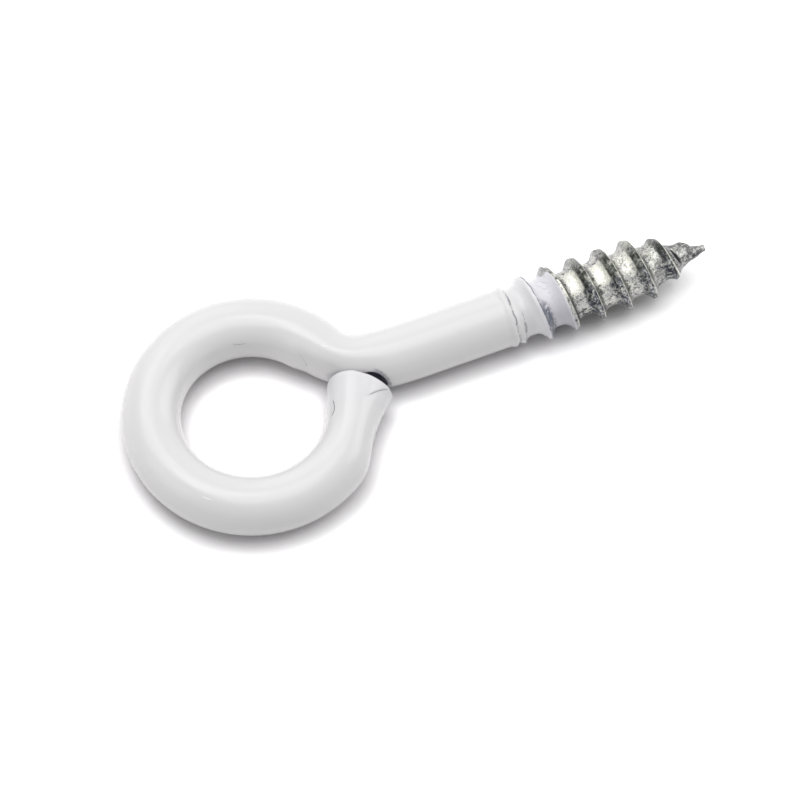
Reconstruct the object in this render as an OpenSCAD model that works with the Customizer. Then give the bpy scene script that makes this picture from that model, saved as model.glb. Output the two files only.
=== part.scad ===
// Screw eye of coated round steel wire: a closed ring, a reverse bend into a
// straight shank, and a rolled wood-screw thread that ends in a gimlet point.
// The origin is the centre of the ring's hole. X runs along the shank to the
// tip, Y lies in the plane of the ring and Z is up. The piece lies as it comes
// to rest on a flat surface: on the far side of the ring and on the thread.

/* [Wire] */
// Diameter of the wire
wire_d = 4; // [3:0.1:5]
// Length over all, from the far side of the ring to the tip
length = 41.8; // [36:0.2:60]
// Thickness of the coat, which ends on the first turns of the thread
coat = 0.09; // [0.04:0.01:0.15]
// Distance from the plain shank at which the coat ends
coat_length = 4.6; // [1:0.1:8]

/* [Eye] */
// Inner diameter of the ring
eye_d = 9.6; // [8.5:0.1:12]
// How far the last quarter of the ring opens towards the free end
eye_open = 0.27; // [0:0.01:0.4]
// How far its last quarter closes towards the neck
eye_close = 0.2; // [0:0.01:0.4]
// Distance of the shank's axis from the centre of the ring
shank_offset = 0.72; // [0:0.02:1.2]
// Radius of the reverse bend between ring and shank, on the wire's axis
neck_bend_r = 3.3; // [2.8:0.1:4.5]
// Radius of the gentle bend that runs out into the shank
shank_bend_r = 25; // [8:1:32]
// Angle of that gentle bend
shank_bend = 8.5; // [4:0.5:12]
// How deep the neck's inner side is pressed in beside the free end
neck_press = 0.85; // [0:0.05:0.9]
// Length of wire that the pressed side takes
neck_press_length = 6.6; // [5:0.2:8]
// Distance of the pressed side's middle from the end of the ring
neck_press_place = 1.7; // [1:0.1:2.4]

/* [Free end] */
// Angle below the X axis at which the ring's bend stops
end_angle = 23.5; // [18:0.5:34]
// Gap left between the free end and the neck
end_gap = 0.1; // [0.05:0.01:0.6]
// Slant of the cropped face
end_slant = 14; // [0:1:18]
// Radius of the cropped face's edge
end_edge_r = 0.5; // [0.1:0.05:0.6]
// How far the cropping tool spreads the end outwards
flare = 0.6; // [0:0.05:0.8]
// Length of wire that the spread takes
flare_length = 2.4; // [1:0.1:4]
// Depth of the mark that the tool leaves on the outer side
dent_depth = 0.55; // [0:0.05:0.8]
// Length of that mark
dent_length = 5.2; // [3:0.1:7]
// Distance of the mark's middle from the end
dent_place = 3.8; // [2.8:0.1:4.5]

/* [Thread] */
// Length of the thread, point included
thread_length = 14.2; // [10:0.1:20]
// Distance from crest to crest
pitch = 1.91; // [1.4:0.01:2.4]
// Height of the bare crest above the coated wire
crest_rise = 0.33; // [0.2:0.01:0.5]
// Depth of the bare root below the bare wire
root_depth = 0.24; // [0.14:0.01:0.4]
// Width of the crest's flat
crest_land = 0.3; // [0.1:0.01:0.4]
// Steepness of the crest's flank towards the tip
tip_flank = 4.8; // [2:0.2:8]
// Steepness of its flank towards the eye, which falls off gently
eye_flank = 2.1; // [1.2:0.1:6]
// Length over which the crest grows out of the shank
run_in = 2.6; // [1.5:0.1:4]
// Length over which the root reaches its depth
root_run_in = 0.9; // [0.5:0.1:2]
// Angle about the axis, from +Y, at which the crest leaves the shank
thread_turn = 127; // [0:1:359]
// Height of the ridge at the end of the plain shank
ridge = 0.11; // [0.04:0.01:0.2]
// Length of that ridge
ridge_length = 0.5; // [0.3:0.05:1]

/* [Point] */
// Length of the tapering point
point_length = 5.9; // [4:0.1:8]
// Diameter of the blunt tip
tip_d = 0.46; // [0.3:0.05:1]

/* [Hidden] */

// Facets around the wire and around the thread, each a multiple of 4
wire_sides = 36;
thread_sides = 44;
// Facets across one thread form, from crest to crest
form_steps = 8;
// Rings of the free end, of its rounded edge and of the neck
end_steps = 30;
edge_steps = 3;
neck_steps = 40;
// Facets of the true circles
round_fn = 96;
// How far one stretch of wire reaches into the next, and sits under its skin
lap = 0.3;
seam = 0.01;
// How far crest and root start below the shank's skin, and the coat's last edge
crest_sink = 0.06;
root_sink = 0.12;
coat_fade = 0.6;

wire_r = wire_d / 2;
eye_r = eye_d / 2 + wire_r;
tip_x = length - eye_r - wire_r;
thread_x = tip_x - thread_length;

// The neck's arc touches the ring, and the gentle bend joins it to the shank
neck_y = shank_offset + neck_bend_r + (shank_bend_r - neck_bend_r) * (1 - cos(shank_bend));
close_r = eye_r - eye_close;
neck_x = sqrt(pow(close_r + neck_bend_r, 2) - pow(neck_y - eye_close, 2));
neck_angle = atan2(neck_y - eye_close, neck_x);
shank_x = neck_x + (shank_bend_r - neck_bend_r) * sin(shank_bend);

// The bends along the wire, from the free end to the shank: centre, radius
// and the angles from and to which the wire's outer side points. A negative
// radius bends the other way.
bends = [
    [[0, eye_open], eye_r + eye_open, -end_angle, -90],
    [[0, 0], eye_r, -90, -270],
    [[0, eye_close], close_r, -270, neck_angle - 360],
    [[neck_x, neck_y], -neck_bend_r, neck_angle - 360, -270 - shank_bend],
    [[shank_x, shank_offset + shank_bend_r], -shank_bend_r, -270 - shank_bend, -270]];

// Lengths along the wire, from the start of the ring's bend to the shank
degree = PI / 180;
s_half = bend_length(bends[0]);
s_close = s_half + bend_length(bends[1]);
s_neck = s_close + bend_length(bends[2]);
s_shank = s_neck + bend_length(bends[3]) + bend_length(bends[4]);
press_s = s_neck + neck_press_place;

// The free end runs straight until its slanted face is about to meet the neck
end_turn = 90 - end_angle;
end_dir = [cos(end_turn), sin(end_turn)];
end_out = [sin(end_turn), -cos(end_turn)];
end_from = bends[0][0] + bends[0][1] * end_out;
face_dir = [cos(end_turn - end_slant), sin(end_turn - end_slant)];
neck_step = 0.1;
neck_side = [for (s = [s_close:neck_step:s_shank])
    let(place = bent_at(s, 0), side = place[0] - (wire_r + inner_shift(s)) * place[1])
    side - end_from];
end_straight = (min([for (side = neck_side)
    if (abs(side * end_out) < wire_r) side * face_dir]) - end_gap) / cos(end_slant);

function bend_length(bend) = abs(bend[1] * (bend[3] - bend[2])) * degree;

// Centre and outward direction of the wire at the length s, which is negative
// along the straight free end
function wire_at(s) = s < 0 ? [end_from - s * end_dir, end_out] : bent_at(s, 0);
function bent_at(s, k) =
    k == len(bends) ? [[shank_x + s, shank_offset], [0, 1]] :
    s > bend_length(bends[k]) ? bent_at(s - bend_length(bends[k]), k + 1) :
    let(bend = bends[k],
        a = bend[2] + (bend[3] - bend[2]) * s / bend_length(bend),
        out = [cos(a), sin(a)])
    [bend[0] + bend[1] * out, out];

// A smooth hump of height 1, centred on mid, zero beyond half of the width
function hump(s, mid, width) =
    abs(s - mid) < width / 2 ? pow(cos(180 * (s - mid) / width), 2) : 0;

// How far the outer side stands out and the rim is rounded off, at a distance
// from the end, and how far the inner side is pressed in, at the length s
function outer_shift(from_end) =
    flare * pow(max(0, 1 - from_end / flare_length), 2)
    - dent_depth * hump(from_end, dent_place, dent_length);
function edge_round(from_end) =
    let(left = max(0, end_edge_r - from_end))
    end_edge_r - sqrt(pow(end_edge_r, 2) - pow(left, 2));
function inner_shift(s) = -neck_press * hump(s, press_s, neck_press_length);

// Ring of points around the wire at the length s
function wire_ring(s) =
    let(place = wire_at(s),
        from_end = s + end_straight,
        lean = s < 0 ? -tan(end_slant) * s / end_straight : 0)
    [for (i = [0:wire_sides - 1])
        let(a = 360 * i / wire_sides,
            shift = cos(a) > 0 ? outer_shift(from_end) : inner_shift(s),
            r = wire_r - seam - edge_round(from_end) + shift * pow(cos(a), 2),
            flat = place[0] + r * cos(a) * (place[1] - lean * end_dir))
        [flat[0], flat[1], r * sin(a)]];

// Solid skinned over rings that all have the same number of points
module loft(rings) {
    n = len(rings[0]);
    last = len(rings) - 1;
    skin = [for (k = [0:last - 1], i = [0:n - 1])
        let(j = (i + 1) % n)
        each [[k * n + i, k * n + n + j, k * n + j],
              [k * n + i, k * n + n + i, k * n + n + j]]];
    near = [for (i = [0:n - 1]) i];
    far = [for (i = [n - 1:-1:0]) last * n + i];
    polyhedron([for (ring = rings) each ring], concat([near], skin, [far]));
}

// The free end, with the quarter of the ring that opens towards it
module free_end() {
    edge = [for (k = [0:edge_steps - 1]) end_edge_r * (1 - cos(90 * k / edge_steps))];
    run = end_straight + s_half + lap - end_edge_r;
    body = [for (k = [0:end_steps]) end_edge_r + run * k / end_steps];
    loft([for (from_end = concat(edge, body)) wire_ring(from_end - end_straight)]);
}

// The half of the ring that is a true circle
module ring_half() {
    rotate([0, 0, 90])
        rotate_extrude(angle = 180, $fn = round_fn)
            translate([eye_r, 0]) circle(r = wire_r);
}

// The quarter of the ring that closes towards the neck, and the reverse bend
module neck() {
    run = s_shank - s_close + 2 * lap;
    loft([for (k = [0:neck_steps]) wire_ring(s_close - lap + run * k / neck_steps)]);
}

// Plain shank, with the ridge that the thread rolls throw up at its end
module shank() {
    run = thread_x - shank_x;
    translate([shank_x, shank_offset, 0])
        rotate([90, 0, 90])
            rotate_extrude($fn = round_fn)
                polygon([[0, 0], [wire_r, 0], [wire_r, run - ridge_length],
                         [wire_r + ridge, run - ridge_length / 4], [wire_r, run], [0, run]]);
}

// Radii at the distance x from the plain shank: how far the point has tapered,
// the coat, the bare crest and the bare root. The taper runs out into the blunt tip.
function rise(x, run) = sin(90 * max(-1, min(1, x / run)));
function taper(x) = rise(max(0, thread_length - x), point_length);
function coat_at(x) = coat * (1 - max(0, rise(x - coat_length, coat_fade)));
function crest_r(x) =
    let(foot = wire_r - coat - crest_sink)
    foot + (wire_r + crest_rise - foot) * rise(x, run_in);
function root_r(x) =
    wire_r - coat - root_sink - (root_depth - root_sink) * max(0, rise(x, root_run_in));
function thread_r(x, form) =
    norm([tip_d / 2 * (1 - taper(x)),
          coat_at(x) + taper(x) * (root_r(x) + (crest_r(x) - root_r(x)) * form)]);

// One thread form: places along the pitch, and heights from root to crest
form_at = [for (j = [0:form_steps])
    (crest_land + (pitch - crest_land) * (1 - cos(180 * j / form_steps))) / pitch / 2];
form_height = [for (j = [0:form_steps])
    let(slope = cos(180 * j / form_steps))
    pow(abs(slope), slope > 0 ? tip_flank : eye_flank)];

// Skin that follows the helix. Each column of points climbs along X with the
// turn, and every point past an end of the thread joins that end's centre.
module thread() {
    n = thread_sides;
    m = form_steps + 1;
    x_start = -lap;
    first = floor((x_start / pitch + thread_turn / 360 - 2) * n);
    last = ceil((thread_length / pitch + thread_turn / 360 + 1) * n);
    function climb(i) = pitch * ((i + first) / n - thread_turn / 360);
    function x_at(i, j) = climb(i) + pitch * form_at[j];
    columns = last - first;
    points = [for (i = [0:columns], j = [0:form_steps])
        let(x = x_at(i, j),
            r = thread_r(x, form_height[j]),
            a = 360 * (i + first) / n)
        [x, r * cos(a), r * sin(a)]];
    apex_start = len(points);
    apex_tip = apex_start + 1;
    function index(i, j) =
        j > form_steps ? index(i + n, 0) :
        x_at(i, j) <= x_start ? apex_start :
        x_at(i, j) >= thread_length ? apex_tip : i * m + j;
    skin = [for (i = [0:columns - n - 1], j = [0:form_steps])
        let(a = index(i, j), b = index(i, j + 1), c = index(i + 1, j + 1), d = index(i + 1, j))
        each [if (a != b && b != c && c != a) [a, b, c],
              if (a != c && c != d && d != a) [a, c, d]]];
    translate([thread_x, shank_offset, 0])
        polyhedron(concat(points, [[x_start, 0, 0], [thread_length, 0, 0]]), skin);
}

// The tilt at which the ring's far side and a crest at the distance x, turned
// straight down, both touch the surface, and the one that clears every crest
function lift(x) =
    let(arm = eye_r + thread_x + x, r = thread_r(x, 1))
    acos(wire_r / norm([r, arm])) - atan2(arm, r);
crest_x = pitch * (270 - thread_turn) / 360;
rest_tilt = max([for (x = [crest_x:pitch:thread_length]) if (x > 0) lift(x)]);

module screw_eye() {
    rotate([0, -rest_tilt, 0]) {
        color("white") {
            free_end();
            ring_half();
            neck();
            shank();
        }
        color("silver") thread();
    }
}

screw_eye();
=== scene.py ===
import math
import re
from types import SimpleNamespace

import bpy
from mathutils import Matrix, Vector


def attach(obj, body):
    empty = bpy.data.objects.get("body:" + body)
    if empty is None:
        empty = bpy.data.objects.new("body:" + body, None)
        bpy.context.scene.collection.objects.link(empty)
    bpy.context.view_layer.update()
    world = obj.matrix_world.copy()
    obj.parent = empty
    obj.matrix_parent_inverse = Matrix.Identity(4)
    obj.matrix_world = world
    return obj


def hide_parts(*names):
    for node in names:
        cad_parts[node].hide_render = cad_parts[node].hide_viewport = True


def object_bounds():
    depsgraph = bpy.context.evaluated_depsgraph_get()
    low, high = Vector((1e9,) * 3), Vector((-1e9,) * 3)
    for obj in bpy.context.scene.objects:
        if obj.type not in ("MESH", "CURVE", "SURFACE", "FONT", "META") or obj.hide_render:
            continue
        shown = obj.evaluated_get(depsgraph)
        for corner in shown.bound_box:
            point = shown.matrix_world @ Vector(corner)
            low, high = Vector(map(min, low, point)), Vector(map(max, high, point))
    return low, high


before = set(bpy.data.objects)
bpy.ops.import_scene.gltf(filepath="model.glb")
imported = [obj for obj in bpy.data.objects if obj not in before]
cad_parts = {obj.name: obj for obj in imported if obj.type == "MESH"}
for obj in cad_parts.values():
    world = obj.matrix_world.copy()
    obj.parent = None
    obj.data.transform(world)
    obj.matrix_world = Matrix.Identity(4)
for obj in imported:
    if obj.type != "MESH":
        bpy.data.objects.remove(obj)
cadLow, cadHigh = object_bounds()
print("frame loaded")

mm = 0.001
nodesInRow = 24              # how the nodes are laid out in the editor
nodeSpace = (190, 260)
lineCore = 0.35              # share of a thin line that is at full strength
lineFade = 0.2               # mm in which a hair crack fades out at its ends


class Field:
    # a value in a node tree that can stand in a plain formula
    def __init__(self, tree, socket):
        self.tree, self.socket = tree, socket

    def __add__(self, other):
        return maths(self.tree, "ADD", self, other)

    def __radd__(self, other):
        return maths(self.tree, "ADD", other, self)

    def __sub__(self, other):
        return maths(self.tree, "SUBTRACT", self, other)

    def __rsub__(self, other):
        return maths(self.tree, "SUBTRACT", other, self)

    def __mul__(self, other):
        return maths(self.tree, "MULTIPLY", self, other)

    def __rmul__(self, other):
        return maths(self.tree, "MULTIPLY", other, self)

    def __truediv__(self, other):
        return maths(self.tree, "DIVIDE", self, other)

    def __pow__(self, other):
        return maths(self.tree, "POWER", self, other)

    def __neg__(self):
        return self * -1


def addNode(tree, kind, **settings):
    node = tree.nodes.new(kind)
    place = len(tree.nodes)
    node.location = (place % nodesInRow * nodeSpace[0], -(place // nodesInRow) * nodeSpace[1])
    for name, value in settings.items():
        setattr(node, name, value)
    return node


def plug(tree, socket, value):
    if isinstance(value, Field):
        tree.links.new(value.socket, socket)
    else:
        socket.default_value = value


def maths(tree, operation, *values):
    node = addNode(tree, "ShaderNodeMath", operation=operation)
    for socket, value in zip(node.inputs, values):
        plug(tree, socket, value)
    return Field(tree, node.outputs[0])


def sine(x):
    return maths(x.tree, "SINE", x)


def cosine(x):
    return maths(x.tree, "COSINE", x)


def sizeOf(x):
    return maths(x.tree, "ABSOLUTE", x)


def rootOf(x):
    return maths(x.tree, "SQRT", x)


def least(x, y):
    return maths(x.tree, "MINIMUM", x, y)


def most(x, y):
    return maths(x.tree, "MAXIMUM", x, y)


def above(x, y):
    return maths(x.tree, "GREATER_THAN", x, y)


def angleOf(y, x):
    return maths(y.tree, "ARCTAN2", y, x)


def fraction(x):
    return maths(x.tree, "FRACT", x)


def limit(x, low, high):
    return least(most(x, low), high)


def ramp(x, fromLow, fromHigh, toLow=0.0, toHigh=1.0, smooth=True):
    node = addNode(x.tree, "ShaderNodeMapRange", clamp=True,
                   interpolation_type="SMOOTHSTEP" if smooth else "LINEAR")
    for socket, value in zip(node.inputs, (x, fromLow, fromHigh, toLow, toHigh)):
        plug(x.tree, socket, value)
    return Field(x.tree, node.outputs[0])


def within(x, edges):
    # 1 between the two middle edges, 0 beyond the outer two
    none, full, past, gone = edges
    return ramp(x, none, full) * ramp(x, gone, past)


def blendOf(amount, low, high):
    return low + (high - low) * amount


def hump(x, middle, width):
    # smooth bump of height 1, zero beyond half of the width
    across = limit((x - middle) / width, -0.5, 0.5)
    return cosine(across * math.pi) ** 2


def vectorMaths(tree, operation, *values):
    node = addNode(tree, "ShaderNodeVectorMath", operation=operation)
    for socket, value in zip(node.inputs, values):
        plug(tree, socket, value)
    return Field(tree, node.outputs["Vector"])


def scaled(vector, factor):
    node = addNode(vector.tree, "ShaderNodeVectorMath", operation="SCALE")
    plug(vector.tree, node.inputs[0], vector)
    plug(vector.tree, node.inputs["Scale"], factor)
    return Field(vector.tree, node.outputs[0])


def joined(tree, x, y, z):
    node = addNode(tree, "ShaderNodeCombineXYZ")
    for socket, value in zip(node.inputs, (x, y, z)):
        plug(tree, socket, value)
    return Field(tree, node.outputs[0])


def parts(vector):
    node = addNode(vector.tree, "ShaderNodeSeparateXYZ")
    plug(vector.tree, node.inputs[0], vector)
    return [Field(vector.tree, out) for out in node.outputs]


def colourMix(amount, first, second):
    node = addNode(amount.tree, "ShaderNodeMix", data_type="RGBA")
    for number, value in ((0, amount), (6, first), (7, second)):
        plug(amount.tree, node.inputs[number], value)
    return Field(amount.tree, node.outputs[2])


def noise(vector, scale, detail=2.0, roughness=0.5, seed=0.0):
    node = addNode(vector.tree, "ShaderNodeTexNoise", noise_dimensions="4D")
    for name, value in (("Vector", vector), ("W", seed), ("Scale", scale),
                        ("Detail", detail), ("Roughness", roughness)):
        plug(vector.tree, node.inputs[name], value)
    return Field(vector.tree, node.outputs[0])


screwEye = {                 # lengths in mm
    "wireRadius": 2.0,
    "length": 41.8,          # over all, from the ring's far side to the tip
    "coat": 0.09,            # thickness of the paint
    "coatTurns": 1.99,       # turn of the thread at which the paint ends
    "coatFade": 0.12,        # width of the paint's last edge
    "coatRag": 0.16,         # unevenness of that edge
    "coatStep": 0.26,        # turns by which it steps back on the upper outer side
    "coatReturn": 1.571,     # how steeply it steps across the root on the hidden side
    "ringRadius": 6.8,       # on the wire's axis
    "ringOpen": 0.27,        # how far the ring opens towards the free end
    "ringClose": 0.2,        # and closes towards the neck
    "shankOffset": 0.72,     # of the shank's axis from the ring's middle
    "neckRadius": 3.3,
    "shankBendRadius": 25.0,
    "shankBend": 8.5,        # degrees
    "neckPress": 0.85,       # depth of the flat that the bending tool pressed into the neck
    "neckPressLength": 6.6,
    "neckPressPlace": 1.7,   # its middle, from the end of the ring's bend
    "endAngle": 23.5,        # degrees from +X at which the free end leaves the ring
    "endGap": 0.1,           # between the free end and the neck
    "endSlant": 14.0,        # degrees
    "endEdge": 0.5,          # radius of the cut edge
    "flare": 0.6,            # spread of the cropped end
    "flareLength": 2.4,
    "dentDepth": 0.55,
    "dentLength": 5.2,
    "dentPlace": 3.8,
    "threadLength": 14.2,
    "pitch": 1.91,
    "crestRise": 0.33,       # of the bare crest over the coated wire
    "rootDepth": 0.24,       # of the bare root below the bare wire
    "crestLand": 0.3,        # flat on the crest
    "tipFlank": 4.8,         # steepness of the crest towards the tip
    "eyeFlank": 2.1,         # and towards the eye
    "runIn": 2.6,            # length in which the crest grows
    "rootRunIn": 0.9,        # and the root
    "threadTurn": 127.0,     # degrees from +Y
    "ridge": 0.11,           # height of the ring of metal at the thread's start
    "ridgeLength": 0.5,
    "ridgeSway": 0.8,
    "pointLength": 5.9,
    "tipRadius": 0.23,
    "crestSink": 0.06,       # of the crest below the bare wire where the thread starts
    "rootSink": 0.12,
    "crestRough": 0.075,     # unevenness of the rolled crest
    "pits": 0.025,           # depth of the bare metal's grain
    "restTilt": 0.8508,      # degrees, ring's far side and a crest both on the floor
    "notch": 0.4,            # depth of the dark hollow where the neck leaves the free end
    "notchPlace": 3.29,      # its middle, from the end of the ring's bend
    "notchLength": 1.12,     # half of its length
    "notchTurn": 190.0,      # degrees round the wire
    "notchWidth": 50.0,      # half of its width, degrees
    "burr": 0.07,            # step left by the cropping tool on the free end
    "burrPlace": 1.48,       # its edge, from the free end
    "burrTurn": 57.0,        # degrees round the wire at that place
    "burrTilt": 0.034,       # mm for each degree
    "paintLump": 0.13,       # blob of paint behind the second crest
    "slit": 0.16,            # fold that the rolling leaves near the point
    "slitTurns": 6.34,
    "slitSway": 0.06,        # turns
    "crown": 0.24,           # how far the cut end stands out along its middle
    "crownLength": 1.4,      # how far along the wire that reaches
    "shoulder": 0.2,         # how far its inner shoulder falls back
    "shoulderTurn": 100.0,   # degrees round the wire where the shoulder starts
}

# where each form and mark fades in and out: a pair is none and full, a four is none, full,
# full and none, and a hump is its middle and width. Degrees run round the wire from its
# outer side over the top, and turns count the thread's crests from its start.
zones = {
    "lipStep": (-0.06, 0.04),                       # mm across the lip's edge
    "lipReach": (2.6, 1.2),                         # mm from the free end
    "lipDegrees": (12.0, 24.0, 60.0, 78.0),
    "coatStepTurn": (0.0, 0.03, 0.13, 0.21),        # turns round the wire
    "bareStart": (0.0, 0.2),                        # mm past the paint's edge
    "threadStart": (-0.05, 0.16),                   # mm past the ridge
    "slitSide": (0.13, 0.03),                       # mm from the slit's middle
    "slitHump": (112.0, 110.0),                     # degrees
    "lumpHump": (1.84, 0.34),                       # turns
    "lumpDegreesHump": (36.0, 68.0),
    "crestWear": (0.2, 1.6),                        # mm past the ridge
    "coolThread": (-0.4, 3.4),
    "coolEnd": (3.2, 0.2),                          # mm from the free end
    "lowSide": (108.0, 135.0, 205.0, 235.0),        # degrees
    "chipTurns": (1.0, 1.07, 1.22, 1.44),
    "chipDegrees": (96.0, 130.0),
    "curlHump": (1.56, 0.62),                       # turns
    "curlDegreesHump": (80.0, 96.0),
    "lipLinePlace": (2.0, 1.5),                     # mm from the free end
    "lipLineDegrees": (22.0, 30.0, 57.0, 66.0),
    "hollowChips": (3.4, 3.9),                      # mm past the ring's bend
    "lowRootShadeTurns": (1.1, 1.6),
    "lowRootShadeDegrees": (120.0, 170.0, 230.0, 260.0),
    "rubbedHump": (1.90, 0.62),                     # turns
    "rubbedDegrees": (4.0, 20.0, 44.0, 64.0),
    "sheenForm": (0.26, 0.38, 0.74, 0.83),          # from one crest to the next
    "sheenDegrees": (58.0, 74.0, 113.0, 128.0),
    "sheenTurns": (4.5, 4.0),
    "lightPoint": (11.2, 9.6),                      # mm past the ridge
    "lightLow": (126.0, 160.0),                     # degrees
    "flankSplit": (104.0, 126.0),
    "flankLow": (112.0, 124.0),
    "flankShadeCrest": (0.17, 0.12),                      # mm past the crest
    "flankShadePoint": (13.2, 12.0),
    "flankShadeTurns": (2.15, 2.5),
    "flankShadeTop": (50.0, 78.0),                        # degrees
    "sootPoint": (8.6, 11.6),                       # mm past the ridge
    "shadeTurns": (3.2, 2.6),
    "blackPatchHump": (2.5, 0.8),                        # turns
    "blackPatchDegreesHump": (186.0, 76.0),
    "foldDegreesHump": (112.0, 104.0),
    "polishEnd": (12.8, 11.8),                      # mm past the ridge
}

# hair cracks, and nicks that carry a painted glint: start, end, offset, tilt and bow of a line on
# the unrolled wire, mm
hairlines = {
    "stubCrack": (2.0, 3.5, 4.68, 0.0, 0.42),
    "neckCrack": (4.9, 6.1, 0.085, 0.57, -1.05),
    "ringMark": (32.75, 34.0, 5.30, 0.08, -0.30),
    "neckNickGlint": (0.34, 0.94, 3.43, -0.35, 0.0),
    "ringNickGlint": (15.55, 16.25, 2.15, 0.0, 0.0),
}

# the skin's rows: how fine they are, and where the fine stretches start and end, in mm
stepsPerTurn = 48
stepsAround = 128
skin = {
    "faceStep": 0.13, "endStep": 0.075, "plainStep": 0.2, "neckStep": 0.15, "tipStep": 0.05,
    "endFine": 6.0,                # from the cut edge
    "beforeNeck": 1.5, "afterNeck": 7.5, "beforeThread": 1.2,
}
pathSteps = 100                    # points tried on each bend for the free end's reach


def wireBends(s):
    # centre, radius and the angles of the wire's outer side, from the free end to the shank
    bend = math.radians(s["shankBend"])
    neckToBend = s["shankBendRadius"] - s["neckRadius"]
    neckY = s["shankOffset"] + s["neckRadius"] + neckToBend * (1 - math.cos(bend))
    closeRadius = s["ringRadius"] - s["ringClose"]
    neckX = math.sqrt((closeRadius + s["neckRadius"]) ** 2 - (neckY - s["ringClose"]) ** 2)
    neckAngle = math.degrees(math.atan2(neckY - s["ringClose"], neckX))
    shankX = neckX + neckToBend * math.sin(bend)
    bends = [
        ((0, s["ringOpen"]), s["ringRadius"] + s["ringOpen"], -s["endAngle"], -90),
        ((0, 0), s["ringRadius"], -90, -270),
        ((0, s["ringClose"]), closeRadius, -270, neckAngle - 360),
        ((neckX, neckY), -s["neckRadius"], neckAngle - 360, -270 - s["shankBend"]),
        ((shankX, s["shankOffset"] + s["shankBendRadius"]), -s["shankBendRadius"],
         -270 - s["shankBend"], -270),
    ]
    return bends, shankX


def bendLength(bend):
    return abs(bend[1] * math.radians(bend[3] - bend[2]))


def wirePath(s):
    # points of the axis, and the lengths along it at which its stretches start
    bends, shankX = wireBends(s)
    turn = math.radians(90 - s["endAngle"])
    endWay = Vector((math.cos(turn), math.sin(turn)))
    endOut = Vector((math.sin(turn), -math.cos(turn)))
    endFrom = Vector(bends[0][0]) + bends[0][1] * endOut

    # the straight end stops a hair short of the neck's pressed side
    faceTurn = turn - math.radians(s["endSlant"])
    faceWay = Vector((math.cos(faceTurn), math.sin(faceTurn)))
    neckStart = sum(bendLength(bend) for bend in bends[:3])
    reach = []
    for bend, start in ((bends[2], neckStart - bendLength(bends[2])), (bends[3], neckStart),
                        (bends[4], neckStart + bendLength(bends[3]))):
        for k in range(pathSteps + 1):
            share = k / pathSteps
            a = math.radians(bend[2] + (bend[3] - bend[2]) * share)
            out = Vector((math.cos(a), math.sin(a)))
            across = start + bendLength(bend) * share - neckStart - s["neckPressPlace"]
            across = max(-0.5, min(0.5, across / s["neckPressLength"]))
            pressed = s["neckPress"] * math.cos(math.pi * across) ** 2
            side = Vector(bend[0]) + bend[1] * out - (s["wireRadius"] - pressed) * out - endFrom
            if abs(side.dot(endOut)) < s["wireRadius"]:
                reach.append(side.dot(faceWay))
    straight = (min(reach) - s["endGap"]) / math.cos(math.radians(s["endSlant"]))

    points = [endFrom + straight * endWay]
    for bend in bends:
        count = max(8, round(abs(bend[3] - bend[2])))    # a point for each degree
        for k in range(count):
            a = math.radians(bend[2] + (bend[3] - bend[2]) * k / count)
            points.append(Vector(bend[0]) + bend[1] * Vector((math.cos(a), math.sin(a))))
    tipX = s["length"] - s["ringRadius"] - s["wireRadius"]
    points += [Vector((x, s["shankOffset"])) for x in (shankX, tipX)]
    wireLength = straight + sum(bendLength(bend) for bend in bends) + tipX - shankX
    return points, {"endRun": straight, "neckFrom": straight + neckStart,
                    "threadFrom": wireLength - s["threadLength"], "wireLength": wireLength}


def skinStretches(s):
    # length and step of each stretch of rows: fine at the free end and on the thread
    arc = s["endEdge"] * (math.pi / 2 - 1)      # the rounded edge is longer than the run it takes
    neckFrom, neckTo = s["neckFrom"] - skin["beforeNeck"], s["neckFrom"] + skin["afterNeck"]
    threadFrom = s["threadFrom"] - skin["beforeThread"]
    return [
        (s["wireRadius"] - s["endEdge"], skin["faceStep"]),
        (skin["endFine"], skin["endStep"]),
        (neckFrom - skin["endFine"] + arc, skin["plainStep"]),
        (neckTo - neckFrom, skin["neckStep"]),
        (threadFrom - neckTo, skin["plainStep"]),
        (s["wireLength"] - threadFrom, s["pitch"] / stepsPerTurn),
        (s["tipRadius"], skin["tipStep"]),
    ]


def plainName(key):
    return re.sub(r"([A-Z])", r" \1", key).capitalize()


def notchDepth(v, place, degrees):
    # 1 in the middle of the hollow, 0 along its sharp rim
    along = (place - v["neckFrom"] - v["notchPlace"]) / v["notchLength"]
    sideways = (degrees - v["notchTurn"]) / v["notchWidth"]
    return rootOf(most(1 - along * along - sideways * sideways, 0.0))


def burrSide(v, place, degrees):
    # above 0 on the raised side of the lip, in mm
    return (degrees - v["burrTurn"]) * v["burrTilt"] + v["burrPlace"] - place


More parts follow.
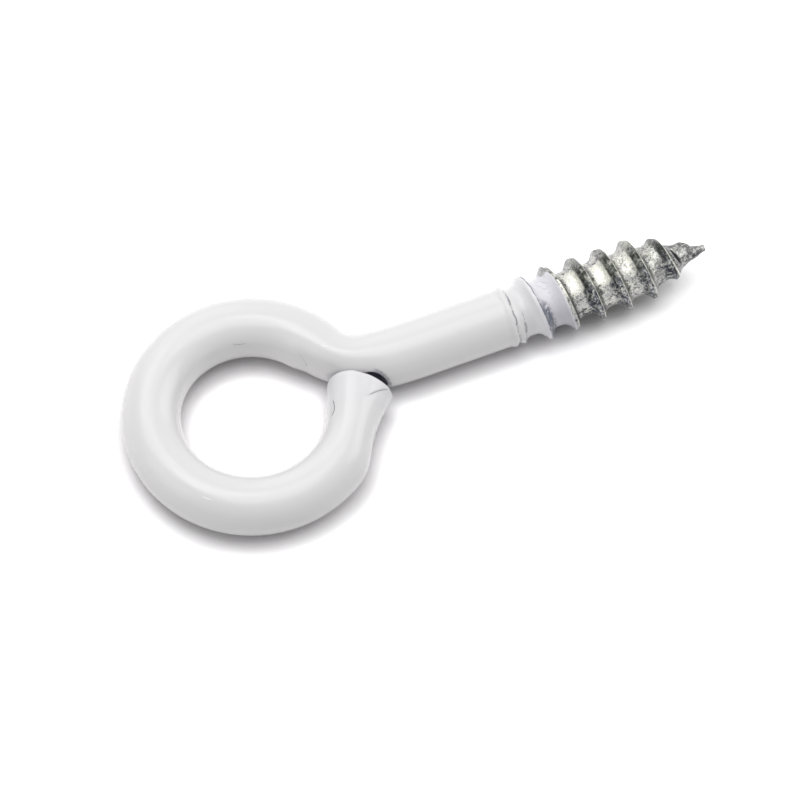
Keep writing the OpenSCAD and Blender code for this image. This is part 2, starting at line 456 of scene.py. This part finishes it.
def threadedWire(s, finish):
    tree = bpy.data.node_groups.new("threadedWire", "GeometryNodeTree")
    face = tree.interface
    face.new_socket("Axis", in_out="INPUT", socket_type="NodeSocketGeometry")
    face.new_socket("Wire", in_out="OUTPUT", socket_type="NodeSocketGeometry")
    for key in s:
        face.new_socket(plainName(key), in_out="INPUT", socket_type="NodeSocketFloat")
    given = addNode(tree, "NodeGroupInput")
    v = {key: Field(tree, given.outputs[plainName(key)]) for key in s}

    # a sheet of rows along the wire and columns around it
    stretches = [(run, max(1, round(run / step))) for run, step in skinStretches(s)]
    rows = sum(count for run, count in stretches) + stepsPerTurn
    sheet = addNode(tree, "GeometryNodeMeshGrid")
    sheet.inputs["Vertices X"].default_value = rows + 1
    sheet.inputs["Vertices Y"].default_value = stepsAround + 1
    index = Field(tree, addNode(tree, "GeometryNodeInputIndex").outputs[0])
    row = maths(tree, "FLOOR", (index + 0.5) / (stepsAround + 1.0))
    turn = (index - row * (stepsAround + 1.0)) / float(stepsAround)
    angle = turn * (2 * math.pi)
    across, upward = cosine(angle), sine(angle)

    # each row climbs by one pitch in one turn, so that the sheet's rows follow the thread
    climb = row + turn * float(stepsPerTurn) - float(stepsPerTurn)
    run = v["endEdge"] - v["wireRadius"]
    start = 0.0
    for stretch, count in stretches:
        run = run + ramp(climb, start, start + count, 0.0, stretch, smooth=False)
        start += count

    # the end's face, its rounded edge, and from there on the distance from the end
    edgeTurn = limit(run / v["endEdge"], 0.0, math.pi / 2)
    edgeRound = v["endEdge"] * (1 - sine(edgeTurn))
    fromEnd = (v["endEdge"] * (1 - cosine(edgeTurn))
               + most(run - v["endEdge"] * (math.pi / 2), 0.0))
    faceShrink = limit(1 + run / (v["wireRadius"] - v["endEdge"]), 0.0, 1.0)
    tipShrink = limit(1 - (fromEnd - v["wireLength"]) / v["tipRadius"], 0.0, 1.0)
    place = least(fromEnd, v["wireLength"])

    # the free end, spread and dented by the cropping tool, and the neck's pressed side
    spread = v["flare"] * most(1 - place / v["flareLength"], 0.0) ** 2
    outer = spread - v["dentDepth"] * hump(place, v["dentPlace"], v["dentLength"])
    inner = -v["neckPress"] * hump(place, v["neckFrom"] + v["neckPressPlace"], v["neckPressLength"])
    shift = blendOf(above(across, 0.0), inner, outer) * across * across

    # a hollow in the neck's side, and the lip that the tool pushed up on the end
    degrees = turn * 360.0
    hollow = notchDepth(v, place, degrees)
    lip = v["burr"] * ramp(burrSide(v, place, degrees), *zones["lipStep"])
    lip = lip * ramp(place, *zones["lipReach"]) * within(degrees, zones["lipDegrees"])
    wireRadius = v["wireRadius"] - edgeRound + shift - v["notch"] * hollow + lip

    # the ridge that the thread rolls throw up at the end of the plain shank
    x = place - v["threadFrom"]
    spot = joined(tree, x, across * v["wireRadius"], upward * v["wireRadius"])
    sway = noise(spot, scale=0.55, detail=3.0, roughness=0.6, seed=3.1) - 0.5
    ridgeAt = x + sway * v["ridgeSway"]
    ridge = v["ridge"] * hump(ridgeAt, v["ridgeLength"] * -0.25, v["ridgeLength"] * 1.5)

    # the thread: how far the point has tapered, then the bare root and crest
    def rise(distance, run):
        return sine(limit(distance / run, 0.0, 1.0) * (math.pi / 2))

    taper = rise(most(v["threadLength"] - x, 0.0), v["pointLength"])
    bare = v["wireRadius"] - v["coat"]
    foot = bare - v["crestSink"]
    rough = noise(spot, scale=1.1, detail=3.0, roughness=0.6, seed=5.2) * 2.0 - 1.0
    rough = v["crestRough"] * rough
    crest = foot + (v["wireRadius"] + v["crestRise"] + rough - foot) * rise(x, v["runIn"])
    root = (bare - v["rootSink"]
            - (v["rootDepth"] - v["rootSink"]) * rise(x, v["rootRunIn"]))
    turns = x / v["pitch"] - (turn - v["threadTurn"] / 360)
    span = v["pitch"] - v["crestLand"]
    slope = limit(1 - (fraction(turns) * v["pitch"] * 2 - v["crestLand"]) / span, -1.0, 1.0)
    form = sizeOf(slope) ** blendOf(above(slope, 0.0), v["eyeFlank"], v["tipFlank"])

    # the paint ends along a crest, and steps back across the root on the hidden side
    side = turn - 0.5
    fold = maths(tree, "SIGN", side) * least(sizeOf(side), (0.5 - sizeOf(side)) * v["coatReturn"])
    stepBack = v["coatStep"] * within(turn, zones["coatStepTurn"])
    edgeTurns = v["coatTurns"] + 0.5 + fold - stepBack
    edgeAt = v["pitch"] * (edgeTurns - v["threadTurn"] / 360)
    rag = noise(spot, scale=1.6, detail=4.0, roughness=0.65, seed=8.4) * 2.0 - 1.0
    paintLeft = edgeAt - x + rag * v["coatRag"]
    paint = v["coat"] * ramp(paintLeft, 0.0, v["coatFade"])
    bareMetal = 1 - ramp(paintLeft, *zones["bareStart"])
    grain = noise(spot, scale=5.0, detail=5.0, roughness=0.7, seed=2.7) - 0.5
    grain = grain * v["pits"] * bareMetal
    slitAt = sizeOf(turns - v["slitTurns"] + sway * v["slitSway"]) * v["pitch"]
    slit = v["slit"] * ramp(slitAt, *zones["slitSide"]) * hump(degrees, *zones["slitHump"])
    blob = hump(turns, *zones["lumpHump"]) * hump(degrees, *zones["lumpDegreesHump"])
    blob = v["paintLump"] * blob
    blunt = v["tipRadius"] * (1 - taper)
    full = paint + taper * (root + (crest - root) * form)
    threadRadius = rootOf(blunt * blunt + full * full) + grain + blob - slit
    begun = ramp(x, *zones["threadStart"])
    radius = blendOf(begun, wireRadius + ridge, threadRadius) * faceShrink * tipShrink

    # the sheet wrapped round the axis, with the free end's face on the slant and crowned
    line = addNode(tree, "GeometryNodeMeshToCurve")
    tree.links.new(given.outputs["Axis"], line.inputs["Mesh"])
    sample = addNode(tree, "GeometryNodeSampleCurve", mode="LENGTH", use_all_curves=True)
    tree.links.new(line.outputs[0], sample.inputs["Curves"])
    plug(tree, sample.inputs["Length"], place)
    centre = Field(tree, sample.outputs["Position"])
    along = Field(tree, sample.outputs["Tangent"])
    upright = joined(tree, 0.0, 0.0, 1.0)
    outward = vectorMaths(tree, "CROSS_PRODUCT", upright, along)
    slant = maths(tree, "TANGENT", v["endSlant"] * (math.pi / 180))
    lean = slant * most(1 - place / v["endRun"], 0.0)
    outward = vectorMaths(tree, "ADD", outward, scaled(along, lean))
    ringPoint = vectorMaths(tree, "ADD", scaled(outward, radius * across),
                            scaled(upright, radius * upward))
    shoulder = v["shoulder"] * most(sine(angle - v["shoulderTurn"] * (math.pi / 180)), 0.0)
    crowned = v["crown"] * (0.5 - upward * upward) + shoulder
    crowned = crowned * ramp(place, v["crownLength"], 0.0)
    crowned = crowned * limit(radius / v["wireRadius"], 0.0, 1.0)    # nothing at the face's middle
    ringPoint = vectorMaths(tree, "ADD", ringPoint, scaled(along, crowned))
    point = vectorMaths(tree, "ADD", centre, ringPoint)

    put = addNode(tree, "GeometryNodeSetPosition")
    tree.links.new(sheet.outputs["Mesh"], put.inputs["Geometry"])
    plug(tree, put.inputs["Position"], point)
    shown = put.outputs[0]
    stored = (("wire", "FLOAT_VECTOR", joined(tree, place, radius * across, radius * upward)),
              ("paintLeft", "FLOAT", paintLeft))
    for name, kind, value in stored:
        store = addNode(tree, "GeometryNodeStoreNamedAttribute", data_type=kind, domain="POINT")
        store.inputs["Name"].default_value = name
        tree.links.new(shown, store.inputs["Geometry"])
        plug(tree, store.inputs["Value"], value)
        shown = store.outputs[0]

    merge = addNode(tree, "GeometryNodeMergeByDistance")
    merge.inputs["Distance"].default_value = 0.002    # closes the seam and the two poles
    outwards = addNode(tree, "GeometryNodeFlipFaces")
    turned = addNode(tree, "GeometryNodeTransform")
    turned.inputs["Scale"].default_value = (mm, mm, mm)
    tilt = joined(tree, 0.0, v["restTilt"] * (-math.pi / 180), 0.0)
    plug(tree, turned.inputs["Rotation"], tilt)
    smooth = addNode(tree, "GeometryNodeSetShadeSmooth")
    real = addNode(tree, "GeometryNodeRealizeInstances")
    paintOn = addNode(tree, "GeometryNodeSetMaterial")
    paintOn.inputs["Material"].default_value = finish
    for node in (merge, outwards, turned, smooth, real, paintOn):
        tree.links.new(shown, node.inputs[0])
        shown = node.outputs[0]
    tree.links.new(shown, addNode(tree, "NodeGroupOutput").inputs[0])
    return tree


def makeScrewEye(finish):
    points, lengths = wirePath(screwEye)
    sizes = dict(screwEye, **lengths)
    axis = bpy.data.meshes.new("wireAxis")
    axis.from_pydata([(p.x, p.y, 0) for p in points],
                     [(k, k + 1) for k in range(len(points) - 1)], [])
    holder = bpy.data.objects.new("wireAxis", axis)
    bpy.context.scene.collection.objects.link(holder)
    modifier = holder.modifiers.new("threadedWire", "NODES")
    modifier.node_group = threadedWire(sizes, finish)
    sockets = {i.name: i.identifier for i in modifier.node_group.interface.items_tree
               if i.item_type == "SOCKET" and i.in_out == "INPUT"}
    for key, value in sizes.items():
        modifier[sockets[plainName(key)]] = float(value)
    seen = holder.evaluated_get(bpy.context.evaluated_depsgraph_get())
    mesh = bpy.data.meshes.new_from_object(seen)
    mesh.name = "screwEyeBody"
    holder.modifiers.remove(modifier)
    bpy.data.objects.remove(holder)
    piece = bpy.data.objects.new("screwEyeBody", mesh)
    bpy.context.scene.collection.objects.link(piece)
    print("screw eye:", len(mesh.vertices), "points and", len(mesh.polygons), "faces")
    return piece


steelFinish = {
    "paint": (0.853, 0.844, 0.846, 1.0),
    "paintCool": (0.838, 0.831, 0.882, 1.0),   # thin paint on the cut end and the thread
    "paintRoughness": 0.20,
    "bruise": (0.115, 0.135, 0.19, 1.0),       # metal showing through cracks and chips
    "hollow": (0.006, 0.009, 0.026, 1.0),      # painted shade in the neck's hollow, where the gap beside the free end lies dark
    "glintWhite": (1.0, 1.0, 1.0, 1.0),
    "contact": (0.30, 0.29, 0.34, 1.0),        # painted shade beside the free end and low in the first root; also greys the chipped paint
    "zincLight": (0.61, 0.61, 0.555, 1.0),
    "zincMid": (0.42, 0.42, 0.41, 1.0),
    "zincDark": (0.022, 0.025, 0.028, 1.0),
    "flankUpper": (0.034, 0.038, 0.030, 1.0),  # painted shade on the side of each crest that faces away from the lamps
    "flankLower": (0.034, 0.040, 0.060, 1.0),
    "zincRoughness": 0.27,
    "grainDepth": 0.03,                        # mm
    "hairWidth": 0.045,                        # half of a crack's width, mm
    "ringMarkWidth": 0.0585,
    "nickGlintWidth": 0.06,
    "curlWidth": 0.016,
    "lipLinePlace": 0.03,                      # mm inside the lip's edge
    "foldSway": 0.02,                          # turns
    "foldWidth": 0.05,                         # turns
    "thinThread": 0.95,                        # how much cooler the paint is on the thread
    "thinEnd": 0.55,                           # and at the free end
    "lowFlank": (-0.34, -0.14),                # how much further the painted flank shade reaches low down
}

# noise on the wire: scale, detail, roughness and seed
patterns = {
    "sway": (0.9, 3.0, 0.6, 2.2),
    "fine": (6.0, 3.0, 0.65, 1.3),
    "specks": (7.5, 4.0, 0.7, 9.7),
    "gaps": (2.4, 3.0, 0.6, 4.4),
    "flakes": (4.6, 4.0, 0.75, 2.9),
    "loops": (1.3, 1.0, 0.5, 6.6),
    "cloud": (1.5, 4.0, 0.62, 6.1),
    "patches": (2.2, 4.0, 0.7, 3.8),
    "spots": (3.4, 5.0, 0.75, 7.5),
    "peel": (0.8, 2.0, 0.5, 5.5),
}

# values of the patterns between which each mark fades in
steps = {
    "broken": (0.40, 0.52), "chips": (0.50, 0.54), "hollowChips": (0.36, 0.6),
    "glints": (0.54, 0.60), "rubbed": (0.22, 0.42), "rubbedFlankShade": (0.54, 0.48),
    "light": (0.48, 0.62), "patchy": (0.62, 0.42), "lowPatchy": (0.56, 0.46),
    "soot": (0.47, 0.39), "pointSoot": (0.60, 0.44), "spots": (0.54, 0.60),
    "blackPatchEdge": (0.56, 0.44), "blackPatch": (0.15, 0.6), "fold": (0.1, 0.3),
    "polished": (0.36, 0.44), "contact": (0.0, 0.8), "hollow": (0.05, 0.35),
    "hollowRim": (0.0, 0.01), "nearHollow": (0.0, 0.4), "paint": (0.0, 0.05),
}

# lines along the thread: place, sway and half width in mm
threadLines = {
    "ridge": (0.07, 0.30, 0.072),
    "second": (0.58, 0.40, 0.09),
    "crest": (0.08, 0.10, 0.0405),
    "shade": (0.29, 0.05, 0.07),
    "polished": (0.18, 0.05, 0.085),
}

# how strong each worn line is in its gaps, and between them
lineStrength = {"ridge": (0.2, 0.7), "second": (0.1, 0.7), "crest": (0.4, 0.9)}

# sizes of the chipped paint and of the painted shade round the hollow
chippedRim = {"notchLength": 1.36, "notchWidth": 60.0}
shadedRim = {"notchPlace": 2.62, "notchLength": 1.52, "notchWidth": 63.0}

# how much of each colour is mixed in at most
amounts = {
    "contact": 0.45, "lowRootShade": 0.3, "chipped": 0.35, "rubbed": 0.8, "rubbedFlankShade": 0.6,
    "soot": 0.55, "pointSoot": 0.75, "mostSoot": 0.85, "spots": 0.9,
    "sheenKept": 0.85,       # how far the painted highlights in the roots stay clear of soot
}

# how strongly the metal shows at each mark
wear = {
    "secondLine": 0.9, "wornCrest": 1.0, "chips": 0.9, "stubCrack": 1.0, "neckCrack": 0.3,
    "lipLine": 0.6, "hollowChips": 0.6, "ringMark": 0.2, "curls": 0.4,
}


def lineAt(distance, halfWidth):
    # 1 along a thin line, 0 beyond its half width
    return ramp(sizeOf(distance), halfWidth, halfWidth * lineCore)


def threadLine(distance, sway, line):
    place, swing, halfWidth = line
    return lineAt(distance - place + sway * swing, halfWidth)


def hairline(u, v, name, halfWidth):
    # thin bent line where v follows u between two values of u
    start, end, offset, tilt, bow = hairlines[name]
    fromMiddle = u - (start + end) / 2
    away = v - (offset + fromMiddle * tilt + fromMiddle * fromMiddle * bow)
    ends = within(u, (start, start + lineFade, end - lineFade, end))
    return lineAt(away, halfWidth) * ends


def placeOnWire(tree, wire):
    # where a point lies on the wire, and the patterns there
    on = SimpleNamespace()
    stored = addNode(tree, "ShaderNodeAttribute", attribute_name="wire")
    on.place, outward, upward = parts(Field(tree, stored.outputs["Vector"]))
    stored = addNode(tree, "ShaderNodeAttribute", attribute_name="paintLeft")
    on.paintLeft = Field(tree, stored.outputs["Fac"])
    on.x = on.place - wire["threadFrom"]
    on.fromNeck = on.place - wire["neckFrom"]
    angle = fraction(angleOf(upward, outward) / (2 * math.pi))
    on.degrees = angle * 360.0
    on.around = angle * (2 * math.pi * wire["wireRadius"])
    on.turns = on.x / wire["pitch"] - angle + wire["threadTurn"] / 360
    on.form = fraction(on.turns)
    on.fromCrest = (fraction(on.turns + 0.5) - 0.5) * wire["pitch"]
    spot = joined(tree, on.x, outward, upward)
    for name, (scale, detail, roughness, seed) in patterns.items():
        setattr(on, name, noise(spot, scale, detail, roughness, seed))
    on.sway = (on.sway - 0.5) * 2.0
    return on


def wornMarks(s, wire, on):
    # marks where the metal shows through: at the ridge, along the crests, in cracks and chips
    broken = ramp(on.gaps, *steps["broken"])
    lowSide = within(on.degrees, zones["lowSide"])
    ridgeLine = threadLine(on.x, on.sway, threadLines["ridge"])
    secondLine = threadLine(on.x, on.sway, threadLines["second"]) * lowSide
    place, swing, width = threadLines["crest"]      # twice as wide on the low side
    wornCrest = threadLine(on.fromCrest, on.sway, (place, swing, (lowSide + 1.0) * width))
    wornCrest = wornCrest * ramp(on.x, *zones["crestWear"])
    on.chipped = within(on.turns, zones["chipTurns"]) * ramp(on.degrees, *zones["chipDegrees"])
    curls = lineAt(on.loops - 0.5, s["curlWidth"]) * hump(on.turns, *zones["curlHump"])
    onLip = ramp(on.place, *zones["lipLinePlace"]) * within(on.degrees, zones["lipLineDegrees"])
    near = notchDepth(dict(wire, **chippedRim), on.place, on.degrees)
    hollowChips = ramp(near, *steps["nearHollow"]) * ramp(on.fromNeck, *zones["hollowChips"])
    lipSide = burrSide(wire, on.place, on.degrees)
    hair = s["hairWidth"]
    marks = {
        "ridgeLine": ridgeLine * blendOf(broken, *lineStrength["ridge"]),
        "secondLine": secondLine * blendOf(broken, *lineStrength["second"]),
        "wornCrest": wornCrest * blendOf(broken, *lineStrength["crest"]),
        "chips": on.chipped * ramp(on.flakes + on.chipped * 0.05, *steps["chips"]),
        "stubCrack": hairline(on.place, on.around, "stubCrack", hair),
        "neckCrack": hairline(on.around, on.fromNeck, "neckCrack", hair),
        "lipLine": lineAt(lipSide + s["lipLinePlace"], hair) * onLip,
        "hollowChips": hollowChips * ramp(on.specks, *steps["hollowChips"], toLow=0.3),
        "ringMark": hairline(on.place, on.around, "ringMark", s["ringMarkWidth"]),
        "curls": curls * hump(on.degrees, *zones["curlDegreesHump"]),
    }
    on.ringMark = marks["ringMark"]
    on.worn = marks.pop("ridgeLine")
    for name, mark in marks.items():
        on.worn = most(on.worn, mark * wear[name])


def paintColour(s, wire, on):
    # paint, cooler where it is thin
    thinEnd = ramp(on.place, *zones["coolEnd"]) * s["thinEnd"]
    thin = most(ramp(on.x, *zones["coolThread"]) * s["thinThread"], thinEnd)
    painted = colourMix(thin, s["paint"], s["paintCool"])
    # the nicks are raised a little in the bump and painted white as glints
    neckNickGlint = hairline(on.fromNeck, on.around, "neckNickGlint", s["nickGlintWidth"])
    on.nicks = most(neckNickGlint, hairline(on.place, on.around, "ringNickGlint", s["nickGlintWidth"]))
    painted = colourMix(on.nicks, painted, s["glintWhite"])

    # painted grey shade beside the free end and low in the first root, and glints on the chipped
    # crest
    contact = notchDepth(dict(wire, **shadedRim), on.place, on.degrees)
    painted = colourMix(ramp(contact, *steps["contact"]) * amounts["contact"], painted, s["contact"])
    lowRootShade = ramp(on.turns, *zones["lowRootShadeTurns"]) * within(on.degrees, zones["lowRootShadeDegrees"])
    painted = colourMix(lowRootShade * amounts["lowRootShade"], painted, s["contact"])
    chippedGround = colourMix(on.chipped * amounts["chipped"], painted, s["contact"])
    glints = on.chipped * ramp(on.specks, *steps["glints"])
    painted = colourMix(glints, chippedGround, s["glintWhite"])

    # the worn marks, the hollow painted near-black as its shade, and the third crest rubbed bare
    painted = colourMix(on.worn, painted, s["bruise"])
    on.inHollow = notchDepth(wire, on.place, on.degrees)
    painted = colourMix(ramp(on.inHollow, *steps["hollow"]), painted, s["hollow"])
    rubbed = hump(on.turns, *zones["rubbedHump"]) * within(on.degrees, zones["rubbedDegrees"])
    bare = ramp(rubbed + (on.specks - 0.5) * 0.7, *steps["rubbed"])
    painted = colourMix(bare * amounts["rubbed"], painted, s["zincMid"])
    # painted shade on the flank of the rubbed crest
    flankShade = rubbed * ramp(on.flakes, *steps["rubbedFlankShade"])
    return colourMix(flankShade * amounts["rubbedFlankShade"], painted, s["flankUpper"])


def zincColour(s, wire, on):
    # bare zinc on a grey ground, with a painted highlight where the lamps reflect in each root
    sheen = within(on.form, zones["sheenForm"]) * within(on.degrees, zones["sheenDegrees"])
    sheen = sheen * ramp(on.turns, *zones["sheenTurns"], toLow=0.45)
    light = ramp(on.cloud + (on.specks - 0.5) * 0.9 + sheen * 0.34, *steps["light"])
    light = light * ramp(on.x, *zones["lightPoint"], toLow=0.25)
    light = light * (1 - ramp(on.degrees, *zones["lightLow"]) * 0.45)
    zinc = colourMix(light, s["zincMid"], s["zincLight"])

    # painted shade on the side of each crest that faces away from the lamps, patchy and wider low
    # down
    flankSide = ramp(on.degrees, *zones["flankSplit"])
    flank = colourMix(flankSide, s["flankUpper"], s["flankLower"])
    lower = ramp(on.degrees, *zones["flankLow"])
    lowNone, lowFull = s["lowFlank"]
    flankShade = ramp(on.fromCrest, lower * lowNone - 0.48, lower * lowFull - 0.36)
    flankShade = flankShade * ramp(on.fromCrest, *zones["flankShadeCrest"])
    upperPatches = 0.55 + ramp(on.patches, *steps["patchy"]) * 0.45
    lowerPatches = 0.15 + ramp(on.flakes, *steps["lowPatchy"]) * 0.8
    flankShade = flankShade * blendOf(lower, upperPatches, lowerPatches) * ramp(on.x, *zones["flankShadePoint"])
    flankShade = flankShade * ramp(on.turns, *zones["flankShadeTurns"], toLow=0.3)
    flankShade = flankShade * ramp(on.degrees, *zones["flankShadeTop"], toLow=0.45)
    zinc = colourMix(flankShade, zinc, flank)

    # soot, thicker towards the point
    soot = ramp(on.specks, *steps["soot"]) * amounts["soot"]
    pointSoot = ramp(on.x, *zones["sootPoint"]) * ramp(on.flakes, *steps["pointSoot"])
    sooty = least(soot + pointSoot * amounts["pointSoot"], amounts["mostSoot"])
    sooty = sooty * (1 - sheen * amounts["sheenKept"])
    zinc = colourMix(sooty, zinc, s["zincDark"])

    # dark spots, the shade behind each crest, a black patch on the underside after the paint's edge,
    # and the rolled fold
    spots = ramp(on.spots, *steps["spots"]) * (1 - sheen * 0.8)
    shade = threadLine(on.fromCrest, on.sway, threadLines["shade"])
    shade = shade * ramp(on.turns, *zones["shadeTurns"], toLow=0.25, toHigh=0.8)
    blackPatch = hump(on.turns, *zones["blackPatchHump"]) * hump(on.degrees, *zones["blackPatchDegreesHump"])
    blackPatch = blackPatch * ramp(on.flakes, *steps["blackPatchEdge"], toLow=0.1, toHigh=1.3)
    blackPatch = ramp(blackPatch, *steps["blackPatch"])
    foldAt = on.turns - wire["slitTurns"] + on.sway * s["foldSway"]
    fold = lineAt(foldAt, s["foldWidth"]) * hump(on.degrees, *zones["foldDegreesHump"])
    fold = ramp(fold, *steps["fold"])
    on.dark = most(most(spots * amounts["spots"], shade), most(blackPatch, fold))
    zinc = colourMix(on.dark, zinc, s["zincDark"])

    # a polished line along each crest
    polished = threadLine(on.fromCrest, on.sway, threadLines["polished"])
    polished = polished * ramp(on.fine, *steps["polished"]) * ramp(on.x, *zones["polishEnd"])
    return colourMix(polished, zinc, s["zincLight"])


def coatedSteel(s, wire):
    material = bpy.data.materials.new("coatedSteel")
    material.use_nodes = True
    tree = material.node_tree
    tree.nodes.clear()
    shader = addNode(tree, "ShaderNodeBsdfPrincipled")
    output = addNode(tree, "ShaderNodeOutputMaterial")
    tree.links.new(shader.outputs[0], output.inputs["Surface"])

    on = placeOnWire(tree, wire)
    wornMarks(s, wire, on)
    painted = paintColour(s, wire, on)
    zinc = zincColour(s, wire, on)
    paint = ramp(on.paintLeft + (on.fine - 0.5) * 0.2, *steps["paint"])
    plug(tree, shader.inputs["Base Color"], colourMix(paint, zinc, painted))
    plug(tree, shader.inputs["Metallic"], (1 - paint) * (1 - on.dark * 0.6))

    # matt where the zinc is dark and the paint worn, glossier in the nicks
    hollowRim = ramp(on.inHollow, *steps["hollowRim"])
    grainy = s["zincRoughness"] + (on.specks - 0.5) * 0.4 + on.dark * 0.25
    coatGloss = s["paintRoughness"] + on.worn * 0.25 + hollowRim * 0.2 - on.nicks * 0.15
    plug(tree, shader.inputs["Roughness"], blendOf(paint, grainy, coatGloss))

    # grain of the zinc, the paint's soft unevenness, and its small nicks and ridges
    relief = 1 + on.peel * 0.35 + on.nicks * 0.5 - on.worn * 0.7 - on.ringMark
    bump = addNode(tree, "ShaderNodeBump")
    bump.inputs["Distance"].default_value = s["grainDepth"] * mm
    bump.inputs["Strength"].default_value = 1.0
    plug(tree, bump.inputs["Height"], on.specks * (1 - paint) * 1.6 + paint * relief)
    tree.links.new(bump.outputs[0], shader.inputs["Normal"])
    return material


stageFinish = {
    "floor": (0.82, 0.82, 0.82, 1.0),
    "floorSeen": (1.56, 1.545, 1.56, 1.0),     # what the camera and reflections see of it
    "floorNearShadow": (0.34, 0.33, 0.34, 1.0),      # and of the part right beside the wire, darkened as a painted contact shadow
    "nearReach": 1.6,                          # mm
    "openSamples": 8,
}


def lookedAt(tree):
    # 1 for what the camera sees, straight or in a reflection, 0 for the light that it gives
    rays = addNode(tree, "ShaderNodeLightPath")
    seen = [Field(tree, rays.outputs[name]) for name in
            ("Is Camera Ray", "Is Glossy Ray", "Is Transmission Ray")]
    return most(most(seen[0], seen[1]), seen[2])


def paleFloor(s):
    material = bpy.data.materials.new("paleFloor")
    material.use_nodes = True
    tree = material.node_tree
    tree.nodes.clear()
    matte = addNode(tree, "ShaderNodeBsdfDiffuse")
    openness = addNode(tree, "ShaderNodeAmbientOcclusion", samples=s["openSamples"])
    openness.inputs["Distance"].default_value = s["nearReach"] * mm
    openSky = Field(tree, openness.outputs["AO"])
    # the camera sees the floor darker near the wire: a painted contact shadow
    seenFloor = colourMix(openSky, s["floorNearShadow"], s["floorSeen"])
    plug(tree, matte.inputs["Color"], colourMix(lookedAt(tree), s["floor"], seenFloor))
    output = addNode(tree, "ShaderNodeOutputMaterial")
    tree.links.new(matte.outputs[0], output.inputs["Surface"])
    return material


screwEye.update(wirePath(screwEye)[1])
piece = makeScrewEye(coatedSteel(steelFinish, screwEye))
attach(piece, "root")
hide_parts("screw_eye")


studio = {
    "floorSize": 3.0,             # m, as the next three
    "aim": (0.012, 0.0, 0.0),     # where the lamps point
    "reach": 0.65,                # from there to each lamp
    "lampSize": 0.45,
    "lamps": {                    # azimuth and elevation in degrees, power in watts
        "keyLamp": (120, 62, 1.05),
        "topLamp": (0, 90, 1.20),
        "sideLamp": (0, 32, 1.12),
        "backLamp": (95, 32, 0.57),
        "leftLamp": (180, 32, 0.44),
    },
    "worldColour": (1.0, 1.0, 1.0, 1.0),
    "worldStrength": 0.26,        # as a light: what is seen of it has strength 1
    "azimuth": -21.3,             # of the camera, degrees
    "elevation": 61.8,
    "distance": 1.5,              # m
    "frameWidth": 53.8,           # mm across the picture
    "frameRight": 9.95,           # mm from the ring's middle to the picture's
    "frameUp": 1.10,
    "nearest": 0.01,              # what the camera sees, m
    "farthest": 10.0,
}


def layFloor(s, height):
    half = s["floorSize"] / 2
    mesh = bpy.data.meshes.new("floor")
    mesh.from_pydata([(-half, -half, height), (half, -half, height),
                      (half, half, height), (-half, half, height)], [], [(0, 1, 2, 3)])
    mesh.materials.append(paleFloor(stageFinish))
    floor = bpy.data.objects.new("floor", mesh)
    bpy.context.scene.collection.objects.link(floor)


def hangLamps(s):
    aim = Vector(s["aim"])
    for name, (azimuth, elevation, power) in s["lamps"].items():
        a, e = math.radians(azimuth), math.radians(elevation)
        away = Vector((math.cos(a) * math.cos(e), math.sin(a) * math.cos(e), math.sin(e)))
        lamp = bpy.data.lights.new(name, "AREA")
        lamp.shape, lamp.size, lamp.energy = "SQUARE", s["lampSize"], power
        holder = bpy.data.objects.new(name, lamp)
        holder.location = aim + away * s["reach"]
        holder.rotation_mode = "QUATERNION"
        holder.rotation_quaternion = away.to_track_quat("Z", "Y")
        bpy.context.scene.collection.objects.link(holder)


def lightWorld(s):
    world = bpy.data.worlds.new("studio")
    bpy.context.scene.world = world
    world.use_nodes = True
    tree = world.node_tree
    tree.nodes.clear()
    soft = addNode(tree, "ShaderNodeBackground")
    soft.inputs["Color"].default_value = s["worldColour"]
    strength = lookedAt(tree) * (1 - s["worldStrength"]) + s["worldStrength"]
    plug(tree, soft.inputs["Strength"], strength)
    output = addNode(tree, "ShaderNodeOutputWorld")
    tree.links.new(soft.outputs[0], output.inputs["Surface"])


def placeCamera(s):
    a, e = math.radians(s["azimuth"]), math.radians(s["elevation"])
    right = Vector((math.cos(a), math.sin(a), 0))
    back = Vector((math.sin(a) * math.cos(e), -math.cos(a) * math.cos(e), math.sin(e)))
    up = back.cross(right)
    data = bpy.data.cameras.new("camera")
    data.lens = data.sensor_width * s["distance"] / (s["frameWidth"] * mm)
    data.clip_start, data.clip_end = s["nearest"], s["farthest"]
    camera = bpy.data.objects.new("camera", data)
    middle = (right * s["frameRight"] + up * s["frameUp"]) * mm
    turned = Matrix((right, up, back)).transposed()
    camera.matrix_world = Matrix.Translation(middle + back * s["distance"]) @ turned.to_4x4()
    bpy.context.scene.collection.objects.link(camera)
    bpy.context.scene.camera = camera


layFloor(studio, cadLow.z)
hangLamps(studio)
lightWorld(studio)
placeCamera(studio)
bpy.context.scene.view_settings.view_transform = "Standard"
print("studio ready")
